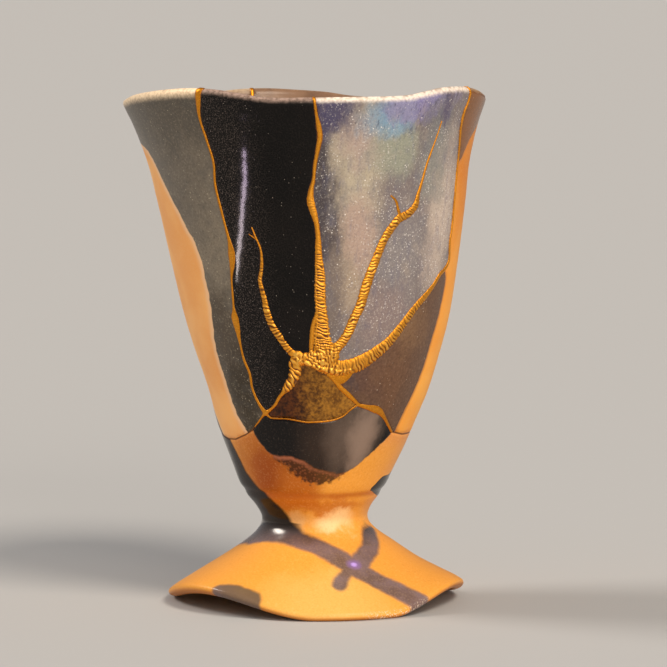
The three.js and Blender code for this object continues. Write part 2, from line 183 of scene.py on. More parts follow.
goldRuns = {
    "greyToBlack": {
        "path": [
            (-33.4, 101.5, 1.9), (-34.8, 98.3, 1.6), (-36.3, 95.1, 0.8), (-35.7, 91, 0.65), (-34.8, 87, 0.65),
            (-35.7, 82.7, 0.7), (-34.9, 78.6, 0.75), (-33.9, 74.5, 0.75), (-33.2, 71.8, 1.2),
            (-33.1, 69.8, 2.3, 0.1), (-33.7, 67.6, 1.6), (-34.9, 65.3, 0.7), (-35.8, 61.5, 0.7),
            (-36.3, 59, 0.9), (-36.5, 57.3, 2.5, 0.1), (-36.3, 55.4, 2.0, 0.1), (-36.4, 52, 0.7),
            (-36.1, 48.9, 0.8), (-34.8, 46.5, 0.8), (-35.1, 43.4, 0.75), (-33.9, 41.5, 0.8), (-32, 40.1, 0.9),
            (-29.1, 38.7, 1.5),
        ],
        "crown": 0.26,
    },
    "blackToBlue": {
        "path": [
            (3, 101.5, 0.8), (3.7, 96.6, 0.75), (4.2, 94.7, 1.2), (4.5, 92.7, 1.3), (3.6, 90.2, 1.0),
            (2.3, 87.1, 0.8), (1.5, 84.2, 0.8), (0.3, 81.9, 1.3), (0, 80.2, 1.9, 0.5), (0.7, 78.3, 1.8, 0.5),
            (1.7, 75.8, 1.2, 0.3), (2, 73.5, 1.3, 0.4), (1.9, 70.8, 1.7, 0.6), (1.9, 68.7, 2.0, 0.8),
            (2.1, 65.8, 2.6, 1), (1.8, 62.2, 2.7, 1), (2, 59.3, 2.8, 1), (2.3, 56.6, 3.2, 1),
            (2.1, 54.4, 4.0, 1), (2.8, 51.6, 4.8, 1), (3.3, 49.5, 5.0, 1),
        ],
        "crown": 0.34, "rails": 0.34, "pitch": 0.88, "slant": 0.3,
    },
    "sideRail": {
        "path": [(0.1, 58.6, 0.7), (-1.7, 56, 1.1), (-2.4, 53.6, 1.2), (-3, 50.8, 0.9)],
        "crown": 0.36,
    },
    "blueToBrown": {
        "path": [
            (63.8, 101.5, 0.8), (64.2, 97.4, 0.8), (63.5, 95.8, 0.8), (63.5, 93.2, 0.9), (65.9, 87.8, 0.75),
            (66.3, 83.9, 0.75), (66.2, 78.6, 0.75), (66.4, 73.3, 0.8), (65.9, 71.6, 0.9), (66.7, 66.9, 1.1),
            (64.1, 65.9, 1.2), (60.4, 65, 1.3), (56, 63, 1.5, 0.2), (51.7, 61.3, 1.9, 0.5),
            (46.9, 59.6, 2.1, 0.8), (42.1, 57.3, 2.3, 1.1), (38.7, 55.5, 2.5, 1.3), (34.7, 53.4, 2.8, 1.3),
            (31.3, 52.0, 3.1, 1.2), (28.2, 51.0, 3.4, 1.2), (24.8, 50.0, 3.8, 1), (20.7, 49.0, 4.2, 1),
            (16.7, 48.3, 4.4, 1), (12.4, 47.9, 4.5, 1), (8.5, 47.9, 4.5, 1), (3.7, 48.3, 4.4, 1),
            (-0.3, 49.0, 4.0, 1),
        ],
        "crown": 0.42, "toothed": 1, "pitch": 0.92,
    },
    "blueCrack": {
        "path": [
            (6.4, 50.2, 3.2, 1), (8.2, 51.7, 2.8, 1), (10.9, 53, 2.6, 1), (13.8, 55.2, 2.5, 1),
            (15.8, 57.5, 2.5, 1), (18.3, 59.9, 2.5, 1), (19.8, 62.4, 2.6, 0.8), (22.1, 65.9, 2.6, 0.8),
            (23.6, 67.8, 2.5, 0.9), (25.3, 69.9, 2.4, 0.7), (27.6, 72.5, 2.3, 0.8), (30.5, 74.6, 2.3, 0.8),
            (33.8, 76.4, 2.4, 0.8), (38.3, 77.4, 2.2, 0.8), (41.4, 78.9, 2.0, 0.7), (42.2, 80.7, 1.3, 0.2),
            (43.8, 83, 0.9), (45.8, 86.4, 0.8), (47.9, 89.4, 0.65), (49.6, 92.2, 0.5), (50.4, 94.0, 0.4),
        ],
        "crown": 0.36, "pitch": 0.98, "slant": -0.45,
    },
    "crackTwig": {
        "path": [(34.6, 76.4, 1.1), (33.3, 78.3, 0.85), (32.2, 79.9, 0.7), (30.2, 80.9, 0.5)],
        "crown": 0.24,
    },
    "blackCrack": {
        "path": [
            (-7.9, 49.6, 2.6, 0.8), (-10.1, 50.3, 2.2, 0.8), (-13.5, 51.8, 1.8, 0.9), (-16.3, 53.8, 1.9, 1),
            (-19, 55.9, 1.9, 1), (-20.6, 58.4, 1.8, 1), (-21.3, 61.5, 1.4, 0.8), (-21.8, 63, 1.2, 0.8),
            (-22.2, 64.7, 1.1, 0.7), (-21, 66.9, 0.9, 0.6), (-20.4, 68.8, 0.8, 0.4), (-20.4, 70.9, 0.6, 0.2),
            (-21.4, 72.6, 0.5), (-22.8, 74.9, 0.4),
        ],
        "crown": 0.32, "pitch": 1.05, "slant": 0.35,
    },
    "blackCrackFork": {
        "path": [(-21.3, 72.5, 0.5), (-23.1, 73.2, 0.45), (-24.3, 73.6, 0.4)],
        "crown": 0.16,
    },
    "hub": {
        "path": [
            (-9.6, 49.3, 2.6, 1), (-5.9, 49.6, 3.4, 1), (-0.8, 49.8, 4.6, 1), (3.4, 50.0, 5.0, 1),
            (6.2, 49.9, 4.0, 1),
        ],
        "crown": 0.5, "pitch": 0.95,
    },
    "hubLip": {
        "path": [
            (-9, 49.5, 1.3, 1.2), (-5, 49.1, 1.6, 1.2), (-1.3, 48.3, 1.9, 1.2), (3.1, 47.8, 2.0, 1.2),
            (7.2, 47.3, 2.0, 1.2), (11.4, 47.3, 1.7, 1.2), (15, 47.6, 1.2, 1),
        ],
        "crown": 0.85, "pitch": 1.7,
    },
    "blackToFill": {
        "path": [
            (-9.1, 50.2, 3.0, 1.2), (-10.3, 48.6, 3.3, 1.5), (-10.7, 47.4, 3.1, 1.5), (-12, 46.0, 2.8, 1.5),
            (-14.3, 44.6, 2.4, 1.3), (-16.4, 43.6, 1.9, 0.8), (-18.3, 42.8, 1.1), (-20.3, 42.0, 0.9),
            (-23.1, 40.4, 0.8), (-26.4, 39.3, 0.8), (-29.1, 38.7, 1.3),
        ],
        "crown": 0.36, "pitch": 1.6, "slant": 0.7,
    },
    "brownToFill": {
        "path": [
            (4.8, 46.6, 1.0), (8, 45.2, 0.9), (10.5, 44.1, 1.2), (14, 42.9, 1.3), (18.5, 41.4, 1.0),
            (21.8, 40.4, 0.9), (24.7, 40.1, 1.1), (27.9, 39.8, 1.4), (32, 39.4, 2.1), (35.7, 38.8, 1.7),
            (38.9, 37.9, 1.1), (44.6, 36.1, 0.8), (50.3, 34.4, 0.7),
        ],
        "crown": 0.3,
    },
    "goldWeb": {
        "path": [(6.6, 46.2, 1.0), (10.7, 45.6, 2.6), (13.5, 46.0, 1.7), (15.7, 46.6, 0.7)],
        "crown": 0.2,
    },
    "fillEdge": {
        "path": [
            (-29.1, 38.7, 0.9), (-26.5, 37.9, 0.5), (-22, 37.75, 0.4), (-17.1, 37.75, 0.35),
            (-10.9, 37.45, 0.4), (-5.4, 37.15, 0.45), (-1, 37.2, 0.5), (5.6, 37.35, 0.5), (10.5, 37.7, 0.45),
            (14.1, 38.3, 0.45), (17.4, 39.5, 0.5), (21.2, 40.5, 0.7),
        ],
        "crown": 0.14,
    },
    "leftBreakLine": {
        "path": [(-29.1, 38.7, 1.2), (-31.1, 38.0, 0.6), (-33.8, 36.9, 0.5), (-37, 35.8, 0.3)],
        "crown": 0.14,
    },
}
backRun = {
    "path": [
        (-162, 101.5, 1.1), (-160.5, 92, 0.8), (-162.6, 84, 1.0), (-163, 80, 1.5, 0.2), (-161, 74, 0.8),
        (-158.5, 68, 0.9), (-159.4, 61, 1.0), (-161, 56, 1.7, 0.6), (-160.3, 51, 1.2, 0.3), (-158, 45, 0.9),
        (-158.6, 39, 0.8), (-160, 33.1, 0.7),
    ],
    "crown": 0.28,
}

# The break between the foot and the rest, all round: turn, rise.
footBreak = [
    (-180, 32.95), (-160, 33), (-138, 32), (-100, 33.6), (-82.2, 33.0), (-66.6, 32.5), (-57.2, 32.7), (-45.5, 34),
    (-39, 35.1), (-33.8, 36.9), (-29.1, 38.7), (-26.5, 37.9), (-22, 37.7), (-17, 37.7), (-10.9, 37.4),
    (-5.4, 37.1), (-1, 37.2), (5.6, 37.3), (10.5, 37.6), (14.1, 38.2), (17.4, 39.4), (21.2, 40.4), (24.5, 40.1),
    (27.9, 39.8), (32, 39.4), (35.7, 38.8), (38.9, 37.9), (44.6, 36.1), (50.3, 34.4), (63.8, 33.5),
    (81.2, 33.2), (100, 33.6), (138, 32.2), (160, 32.8), (180, 32.95),
]


def breakRise(turn):
    px, py = np.array(footBreak).T
    return np.interp(wrapped(turn), px, py)


def finePath(path, step):
    # the run's points on a smooth curve, every step millimetres: turn, rise, width, ridged
    points = np.array([(*point, 0)[:4] for point in path], float)
    along = travelled(points[:, :2] * flatScale)
    return smoothColumns(points, along, np.linspace(0, along[-1], max(3, int(along[-1] / step))))


def flatMillimetres(rise):
    # the bowl's skin unrolled: how many millimetres one degree and one percent are there
    return bowlRadius(heightAt(rise)) * degree, form["height"] / 100 * form["slant"]


def edgeDistance(outline, turn, rise):
    # millimetres from each place to a closed outline of turn, rise: positive inside it
    corners = np.array(outline, float)
    perTurn, perRise = flatMillimetres(np.minimum(rise, 99))
    nearest = np.full(len(turn), 1e9)
    inside = np.zeros(len(turn), bool)
    for (turnA, riseA), (turnB, riseB) in zip(corners, np.roll(corners, -1, 0)):
        ax, ay = (turnA - turn) * perTurn, (riseA - rise) * perRise
        bx, by = (turnB - turnA) * perTurn, (riseB - riseA) * perRise
        t = np.clip(-(ax * bx + ay * by) / np.maximum(bx * bx + by * by, 1e-12), 0, 1)
        nearest = np.minimum(nearest, np.hypot(ax + bx * t, ay + by * t))
        if riseA != riseB:
            crosses = (riseA > rise) != (riseB > rise)
            at = turnA + (rise - riseA) / (riseB - riseA) * (turnB - turnA)
            inside ^= crosses & (turn < at)
    return np.where(inside, nearest, -nearest)


def plane(run):
    return [tuple(point[:2]) for point in finePath(run["path"], 1.0)]


def rounded(area):
    # the closed outline as a smooth curve, five points for each of its own
    points = np.array(area, float)
    ring = np.concatenate([points[-3:], points, points[:3]])
    along = travelled(ring * flatScale)
    return smoothColumns(ring, along, np.linspace(along[3], along[3 + len(points)], 5 * len(points))[:-1])


print("form ready")


# Meshes. A piece is first laid out flat as turn, rise, 0 for the outer face or 1 for the inner one.

def readVector(mesh):
    flat = np.empty(len(mesh.vertices) * 3)
    mesh.vertices.foreach_get("co", flat)
    return flat.reshape(-1, 3)


def writeFloats(mesh, **layers):
    for name, values in layers.items():
        layer = mesh.attributes.get(name) or mesh.attributes.new(name, "FLOAT", "POINT")
        layer.data.foreach_set("value", np.asarray(values, np.float32))


def readFloat(mesh, name):
    values = np.empty(len(mesh.vertices))
    mesh.attributes[name].data.foreach_get("value", values)
    return values


def meshFrom(bm, name):
    mesh = bpy.data.meshes.new(name)
    bm.to_mesh(mesh)
    bm.free()
    return mesh


def layGrid(left, right, low, high, columns, rows):
    bm = bmesh.new()
    bmesh.ops.create_grid(bm, x_segments=columns, y_segments=rows, size=0.5)
    bmesh.ops.scale(bm, verts=bm.verts[:], vec=(right - left, high - low, 1))
    bmesh.ops.translate(bm, verts=bm.verts[:], vec=((left + right) / 2, (low + high) / 2, 0))
    return bm


def doubled(bm, name):
    # the lattice as an outer face, closed by an inner one
    made = bmesh.ops.extrude_face_region(bm, geom=bm.faces[:])
    lifted = [part for part in made["geom"] if isinstance(part, bmesh.types.BMVert)]
    bmesh.ops.translate(bm, verts=lifted, vec=(0, 0, 1))
    return meshFrom(bm, name)


def addObject(name, data):
    added = bpy.data.objects.new(name, data)
    bpy.context.scene.collection.objects.link(added)
    return added


def finishMesh(name, mesh, places, nodes):
    mesh.vertices.foreach_set("co", places.astype(np.float32).ravel())
    bm = bmesh.new()
    bm.from_mesh(mesh)
    bmesh.ops.remove_doubles(bm, verts=bm.verts[:], dist=hand["weld"] * mm)
    bmesh.ops.recalc_face_normals(bm, faces=bm.faces[:])
    for face in bm.faces:
        face.smooth = True
    bm.to_mesh(mesh)
    bm.free()
    piece = addObject(name, mesh)
    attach(piece, "root")
    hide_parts(*nodes)
    print("made", name, "with", len(mesh.polygons), "faces")
    return piece


hand = {  # the unevenness of thrown clay, in mm
    "weld": 0.002,
    "rings": 0.012,
    "slow": 0.05,
    "crease": -0.34,
    "creaseWide": 0.7,  # percent
    "roundDeep": 0.12,  # how far a broken edge is rounded, and how wide
    "roundWide": 0.25,
}
creaseRise = 21.9
rimRise = 97  # the clay is even above it


def handRelief(turn, rise):
    # the soft unevenness that fingers leave in thrown clay, in millimetres
    angle = turn * degree
    rings = hand["rings"] * np.sin(rise * 1.9 + 0.8 * np.sin(angle + 1)) * np.exp(-((rise - 60) / 60) ** 2)
    slow = hand["slow"] * np.sin(3 * angle + rise * 0.11) * np.sin(rise * 0.17 + 1.3)
    off = rise - creaseRise + 0.25 * np.sin(2 * angle)
    crease = hand["crease"] * np.exp(-(off / hand["creaseWide"]) ** 2)
    return np.where(rise > rimRise, 0, rings + slow) + crease


def brokenEdge(gap):
    return hand["roundDeep"] * np.exp(-(gap / hand["roundWide"]) ** 2)


sherdCells = {"turnStep": 1.0, "riseStep": 0.7}
farOff = 20.0  # mm, well out of every edge's reach


def snapRim(bm, corners):
    # moves the lattice's border onto the outline, and its top onto the crest of the lip
    toward = np.roll(corners, -1, 0) - corners
    lengths = np.maximum((toward ** 2).sum(1), 1e-12)
    for vert in [vert for vert in bm.verts if vert.is_boundary]:
        place = np.array(vert.co[:2])
        part = np.clip(((place - corners) * toward).sum(1) / lengths, 0, 1)
        spots = corners + toward * part[:, None]
        turn, rise = spots[np.argmin(np.hypot(*((spots - place) * flatScale).T))]
        if place[1] <= topRise - 0.01:
            vert.co.x, vert.co.y = turn, min(rise, topRise)
            continue
        if abs(turn - place[0]) < 2 and rise < topRise + 1:
            vert.co.x = turn
        vert.co.y = topRise


def makeSherd(name, outline):
    corners = np.array(outline, float)
    left, low = corners.min(0)
    right = corners[:, 0].max()
    columns = int((right - left) / sherdCells["turnStep"])
    rows = int((topRise - low) / sherdCells["riseStep"])
    bm = layGrid(left, right, low, topRise, columns, rows)
    middles = np.array([face.calc_center_median()[:2] for face in bm.faces])
    outside = edgeDistance(outline, *middles.T) < 0
    bmesh.ops.delete(bm, geom=[face for face, gone in zip(bm.faces[:], outside) if gone], context="FACES")
    snapRim(bm, corners)
    mesh = doubled(bm, name)
    turn, rise, inner = readVector(mesh).T
    gap = np.where(rise > topRise - 0.5, farOff, np.abs(edgeDistance(outline, turn, rise)))
    raised = np.where(inner < 0.5, handRelief(turn, rise), 0) - brokenEdge(gap)
    areas = colourAreas.get(name, {}).items()
    areas = {mask: edgeDistance(rounded(area), turn, rise) for mask, area in areas}
    writeFloats(mesh, turn=turn, rise=rise, inner=inner, lipBelow=heightAt(np.maximum(0, topRise - rise)),
                breakGap=heightAt(np.abs(rise - breakRise(turn))), seamGap=seamGap(turn, rise), **areas)
    return finishMesh(name + "Clay", mesh, distort(turn, *bowlPoint(rise, inner, raised)), [name])


def growSeamTree():
    fine = np.concatenate([finePath(run["path"], 0.8) for run in [*goldRuns.values(), backRun]])
    tree = kdtree.KDTree(len(fine))
    for i, place in enumerate(fine[:, :2] * flatScale):
        tree.insert((*place, 0), i)
    tree.balance()
    return tree, fine[:, 2] / 2


seamTree, seamHalves = growSeamTree()


def seamGap(turn, rise):
    # millimetres to the edge of the nearest gold
    found = [seamTree.find((*place, 0)) for place in np.stack([wrapped(turn), rise], 1) * flatScale]
    return np.array([distance - seamHalves[i] for _, i, distance in found])


# Where glazes and bare clay meet on each sherd, as closed outlines of turn, rise.
colourAreas = {
    "grey_sherd": {
        "bare": [
            (-73, 88.3), (-68.3, 84.5), (-64.1, 81.2), (-58.8, 77.4), (-54.8, 73.8), (-52.2, 72), (-49.8, 68.4),
            (-49.4, 64.3), (-49, 60.3), (-50.2, 56.2), (-52.3, 52.4), (-53.1, 48.9), (-52.9, 45.3), (-52.1, 41.8),
            (-49.5, 38.3), (-43.6, 35), (-39.7, 30), (-72, 30), (-76.5, 34), (-83.6, 37.5), (-96, 40), (-112, 44),
            (-127, 52), (-137, 62), (-141, 72), (-136, 81), (-124, 88), (-108, 91.5), (-92, 91.2),
        ],
    },
    "brown_sherd": {
        "bare": [
            (62.6, 86), (67.5, 86.3), (72.7, 89.5), (82.4, 93.3), (95, 95.5), (112, 94), (128, 90), (141, 83),
            (149, 73), (151, 61), (147, 50), (150, 41), (160, 36), (164, 30), (52, 30), (53.7, 35.3),
            (55.4, 39.4), (58.6, 43.5), (61.3, 47.6), (62.3, 52.6), (64, 55.9), (65.1, 59.4), (66.1, 64), (62.7, 67),
        ],
    },
    "foot_sherd": {
        "lobe": [
            (-39, 34.9), (-36.6, 33.2), (-32.2, 31.2), (-27.7, 30.3), (-23, 30.0), (-15.5, 30.1), (-7.7, 29.3),
            (-0.9, 27.9), (8, 27.2), (16.5, 26.6), (22.7, 26.8), (27.9, 27.7), (35.2, 29.6), (43, 31.8),
            (50.4, 34.0), (51.8, 46), (-43.2, 46),
        ],
        "crawl": [
            (-30.7, 31), (-26.5, 29.4), (-19.4, 28.0), (-14.3, 26.2), (-5.7, 24.8), (5.7, 24.2), (15, 25),
            (21.3, 26.2), (23.3, 29), (0.3, 33), (-19.8, 33),
        ],
        "pour": [
            (-67.4, 36), (-64.9, 32.5), (-57.5, 26.3), (-49.3, 23.6), (-44.7, 22.6), (-37, 20.6), (-32, 19.2),
            (-27, 17.2), (-23, 10), (-150, 10), (-148, 18), (-140, 26), (-146, 36),
        ],
        "chip": [
            (50.5, 22.8), (53.8, 23.6), (59.2, 24.8), (75.1, 25.2), (95, 26.5), (112, 24.5), (103, 20.8), (81, 20.6),
            (65, 21.4), (55.9, 22.2),
        ],
    },
}
# Strokes of dark glaze over the foot, seen from above: x, y from the stem's axis and half the width, in mm.
footStrokes = [
    [(-6, 15, 3.5), (-14, 9, 4.5), (-17.5, 0, 4.2), (-16, -6.5, 3.6), (-10, -12.4, 2.8), (-5, -16.7, 2.2),
     (0, -19.0, 2.3), (5, -21.5, 2.8), (10, -23.7, 3.0), (16, -25.6, 3.0), (22, -27.4, 2.9), (31, -30.4, 2.8)],
    [(15.4, -3.6, 0.4), (15.0, -6.0, 1.1), (14.6, -9.0, 1.9), (14.4, -11.5, 2.2), (14, -15.5, 2.3),
     (11.8, -20.4, 2.5), (9.3, -24, 2.0), (7.5, -27, 1.5), (6.4, -30.2, 2.1)],
    [(-26, -31.5, 2.6), (-22, -34, 3.6), (-17.5, -36.3, 3.0)],
    [(12, 17, 2.5), (19, 24, 3.5), (24, 31, 4.5)],
]


def strokeDistance(strokes, x, y):
    best = np.full(len(x), -farOff)
    for stroke in strokes:
        for (ax, ay, aw), (bx, by, bw) in zip(stroke, stroke[1:]):
            t = np.clip(((x - ax) * (bx - ax) + (y - ay) * (by - ay)) / ((bx - ax) ** 2 + (by - ay) ** 2), 0, 1)
            best = np.maximum(best, aw + (bw - aw) * t - np.hypot(x - ax - (bx - ax) * t, y - ay - (by - ay) * t))
    return best


footCells = {
    "steps": 360,
    "innerFrom": 30.4,
    "nominalBreak": 33.0,
    "stem": 16,  # radius within which the dark glaze keeps its outline on the wall
    "under": 52,  # rows of points on each stretch of the profile
    "edge": 10,
    "top": 46,
    "bowl": 40,
    "inside": 10,
    "well": 24,
}


def footProfile():
    # the foot sherd's closed profile: radius, height, zone (0 turned form, 1 outer bowl, 2 inner bowl), rise
    waist, radius = form["waistHeight"], form["footRadius"]
    reach = radius - form["waistRadius"]
    top = [(form["waistRadius"] + reach * out, waist * up) for up, out in form["footTop"][2:8]]
    dome = waist - form["stem"]
    under = [(r - 0.55 * form["footWall"], z - 0.85 * form["footWall"]) for r, z in top[2:5]]
    edge = [(1.4, 0), (0.6, 0), (0.2, 0.15), (0, 0.5), (0.1, 0.85)]
    edge = [(radius - inward * form["footEdge"], up * form["footEdge"]) for inward, up in edge]

    def spread(points, count):
        points = np.array(points, float)
        along = travelled(points)
        return [(r, z, 0, 0) for r, z in smoothColumns(points, along, np.linspace(0, along[-1], count))]

    rows = spread([(0, dome), (0.3 * radius, 0.93 * dome), *under, edge[0]], footCells["under"])
    rows += spread(edge, footCells["edge"])[1:]
    for z in np.linspace(edge[-1][1], waist, footCells["top"])[1:-1]:
        rows.append((form["waistRadius"] + reach * float(smoothThrough(form["footTop"], z / waist)), z, 0, 0))
    nominal, innerFrom = footCells["nominalBreak"], footCells["innerFrom"]
    rows += [(0, 0, 1, rise) for rise in np.linspace(waistRise, nominal, footCells["bowl"])]
    rows += [(0, 0, 2, rise) for rise in np.linspace(nominal, innerFrom, footCells["inside"])]
    lowRadius, lowHeight = (float(v) for v in bowlPoint(np.float64(innerFrom), 1, 0))
    floor = waist + form["floor"]
    for share in np.linspace(1, 0, footCells["well"])[1:]:
        rows.append((lowRadius * share, floor + (lowHeight - floor) * share ** 3.2, 0, 0))
    return rows


def makeFoot():
    bm = bmesh.new()
    layers = {key: bm.verts.layers.float.new(key) for key in ("zone", "rise", "radius", "high")}
    chain = []
    for radius, height, zone, rise in footProfile():
        vert = bm.verts.new((0, -(radius if zone == 0 else 1 + rise + 100 * zone), height))
        for layer, value in zip(layers.values(), (zone, rise, radius, height)):
            vert[layer] = value
        chain.append(vert)
    edges = [bm.edges.new(pair) for pair in zip(chain, chain[1:])]
    bmesh.ops.spin(bm, geom=chain + edges, cent=(0, 0, 0), axis=(0, 0, 1), dvec=(0, 0, 0),
                   angle=2 * math.pi, steps=footCells["steps"], use_merge=True)
    mesh = meshFrom(bm, "foot_sherd")

    x, y, _ = readVector(mesh).T
    turn = np.degrees(np.arctan2(x, -y))
    zone, rise, radius, height = (readFloat(mesh, name) for name in layers)
    start = np.where(zone == 2, footCells["innerFrom"], waistRise)
    share = np.clip((rise - start) / (footCells["nominalBreak"] - start), 0, 1)
    lifted = start + share ** 1.3 * (breakRise(turn) - start)
    rise = np.where(zone > 0, lifted, 100 * height / form["height"])
    gap = np.where(zone == 1, heightAt(breakRise(turn) - rise), farOff)
    raised = np.where(zone == 1, handRelief(turn, rise) - brokenEdge(gap), 0)
    bowlR, bowlZ = bowlPoint(rise, (zone == 2).astype(float), raised)
    radius = np.where(zone > 0, bowlR, radius)
    height = np.where(zone > 0, bowlZ, height)
    inner = np.where((zone == 2) | ((zone == 0) & (height > form["waistHeight"])), 1, 0)
    onFoot = (zone == 0) & (inner < 0.5)
    areas = colourAreas["foot_sherd"]
    masks = {}
    for mask, area in areas.items():
        shape = rounded(area) if mask == "chip" else area
        masks[mask] = np.where(onFoot, -farOff, edgeDistance(shape, turn, rise))
    angle = turn * degree
    plan = strokeDistance(footStrokes, radius * np.sin(angle), -radius * np.cos(angle))
    pour = edgeDistance(areas["pour"], turn, rise)
    onStem = np.where(radius < footCells["stem"], pour, -farOff)
    masks["pour"] = np.where(onFoot, np.maximum(plan, onStem), pour)
    writeFloats(mesh, turn=turn, rise=rise, inner=inner, breakGap=gap, lipBelow=np.full(len(rise), farOff),
                seamGap=np.where(zone == 1, seamGap(turn, rise), farOff), **masks)
    places = distort(turn, radius, height)
    places[:, 2] = np.maximum(places[:, 2], 0)  # the foot stands on the floor, not in it
    piece = finishMesh("foot_sherdClay", mesh, places, ["foot_sherd"])
    joinTurn(piece.data)
    return piece


def joinTurn(mesh):
    # the column of faces across the back reads one turn all over, on past the half turn
    corners, totals = np.empty(len(mesh.loops), int), np.empty(len(mesh.polygons), int)
    mesh.loops.foreach_get("vertex_index", corners)
    mesh.polygons.foreach_get("loop_total", totals)
    turn = readFloat(mesh, "turn")[corners]
    starts = np.concatenate([[0], np.cumsum(totals)[:-1]])
    highest = np.repeat(np.maximum.reduceat(turn, starts), totals)
    turn = np.where((highest > 170) & (turn < -170), turn + 360, turn)
    mesh.attributes.remove(mesh.attributes["turn"])
    layer = mesh.attributes.new("turn", "FLOAT", "CORNER")
    layer.data.foreach_set("value", turn.astype(np.float32))


hubPoint = [(3.0, 49.0)]
backLine = plane(backRun)
breakLeft = [(t, float(breakRise(t))) for t in np.arange(-28.5, -160, -1.5)]
breakRight = [(t, float(breakRise(t))) for t in np.arange(50, 200, 1.5)]
lines = {name: plane(run) for name, run in goldRuns.items()}
greyEdge, blackEdge, blueEdge = lines["greyToBlack"], lines["blackToBlue"], lines["blueToBrown"]
fillLeft, fillRight = lines["blackToFill"], lines["brownToFill"]
sherds = {  # slot, outline
    "grey_sherd": ("grey_glaze", greyEdge + breakLeft + backLine[::-1]),
    "black_sherd": ("black_glaze", greyEdge + fillLeft[::-1] + hubPoint + blackEdge[::-1]),
    "blue_sherd": ("blue_lustre_glaze", blackEdge + hubPoint + blueEdge[::-1]),
    "brown_sherd": ("brown_glaze", blueEdge + hubPoint + fillRight + breakRight
                    + [(turn + 360, rise) for turn, rise in backLine[::-1]]),
    "lacquer_fill": ("amber_lacquer", fillLeft + lines["fillEdge"] + fillRight[5::-1] + hubPoint),
}
clay = {name: makeSherd(name, outline) for name, (slot, outline) in sherds.items()}
clay["foot_sherd"] = makeFoot()


# The gold: a skin laid over each join, high in the middle and dipping under the glaze at its edges.

goldSkin = {  # in mm, but for the steps in degrees and percent
    "turnStep": 0.2,
    "riseStep": 0.105,
    "ridge": 0.38,  # height of the cross ridges
    "sharp": 1.1,  # how sharp they are
    "folds": 0.30,  # height of the folds where the joins meet
    "pitch": 1.0,  # distance between them
    "round": 2.6,  # how square the gold's section is
    "blend": 0.05,  # how softly one run flows into another
    "thinnest": 0.15,
    "dip": -0.09,  # how far the skin's edge lies under the glaze
    "folded": 0.12,  # the height from which it is folded
    "front": (-39.5, 67.5, 33.2),  # from turn, to turn, from rise
    "back": (-167, -154, 32.4),
    "hub": (1.2, 7.5, 50.2, 2.6),  # turn, half width, rise, half height
}


def nearestOnRun(run, turns, rises):
    # the lattice's places near the run, and for each the way along and across it, its half width and ridges
    shape = (len(rises), len(turns))
    best = np.full(shape, 9.0)
    facts = np.zeros((4, *shape))
    done = 0.0
    fine = finePath(run["path"], 0.5)
    for (turnA, riseA, widthA, ridgedA), (turnB, riseB, widthB, ridgedB) in zip(fine, fine[1:]):
        perTurn, perRise = flatMillimetres(min(riseA, 99))
        reach = max(widthA, widthB) * 0.75 + 0.6
        aside, above = reach / perTurn, reach / perRise
        c0, c1 = np.searchsorted(turns, [min(turnA, turnB) - aside, max(turnA, turnB) + aside])
        r0, r1 = np.searchsorted(rises, [min(riseA, riseB) - above, max(riseA, riseB) + above])
        dx, dy = (turnB - turnA) * perTurn, (riseB - riseA) * perRise
        size = math.hypot(dx, dy)
        if c1 > c0 and r1 > r0 and size > 0:
            px = (turns[None, c0:c1] - turnA) * perTurn
            py = (rises[r0:r1, None] - riseA) * perRise
            t = np.clip((px * dx + py * dy) / size ** 2, 0, 1)
            far = np.hypot(px - dx * t, py - dy * t)
            window = (slice(r0, r1), slice(c0, c1))
            near = far < best[window]
            best[window] = np.where(near, far, best[window])
            news = (done + size * t, far * np.where(px * dy - py * dx > 0, 1, -1),
                    (widthA + (widthB - widthA) * t) / 2, ridgedA + (ridgedB - ridgedA) * t)
            for fact, value in zip(facts, news):
                fact[window] = np.where(near, value, fact[window])
        done += size
    touched = best < 9
    return touched, facts[:, touched]


def goldSection(run, along, across, half, ridged, calm):
    # the gold's height over the glaze and how much of it is folds, in mm
    half = np.maximum(half, goldSkin["thinnest"])
    sway = 0.7 * np.sin(1.31 * along) + 0.45 * np.sin(2.9 * along + 1) + 0.45 * np.sin(2.6 * across + along)
    ridges = math.pi * (along + run.get("slant", 0) * across) / run.get("pitch", goldSkin["pitch"])
    ridges = np.abs(np.sin(ridges + sway)) ** goldSkin["sharp"]
    lowSide = np.clip(0.5 - across / half, 0, 1) if run.get("toothed") else 1.0
    teeth = 0.16 * ridged * (ridges - 0.5) * lowSide
    q = np.abs(across / (half * (1 + teeth + 0.05 * np.sin(2.1 * along + 3 * np.sin(along)))))
    crown = run["crown"] * np.minimum(1, 0.45 + 0.3 * half)
    smooth = crown * (1 - q ** goldSkin["round"])
    uneven = 0.74 + 0.24 * np.sin(0.83 * along + 2 * np.sin(0.41 * along))
    uneven = uneven + 0.2 * np.sin(2.3 * along + 1.9 * across)
    if "rails" in run:
        rail = np.exp(-((q - 0.88) / 0.11) ** 2)
        twisted = (1 - rail) * uneven * (ridges - 0.74) * np.clip(2 * ridged - 0.6, 0, 1)
        fold = np.where(q < 1, run["rails"] * (0.24 * rail + 1.1 * twisted) * ridged * calm, 0)
        fold = np.maximum(fold, -0.75 * smooth)
    else:
        inside = np.sqrt(np.clip(1 - q * q, 0, 1))
        fold = goldSkin["ridge"] * ridged * uneven * (ridges - 0.58) * inside * calm
        fold = fold * (0.5 + 0.5 * lowSide)
    return smooth + fold, fold


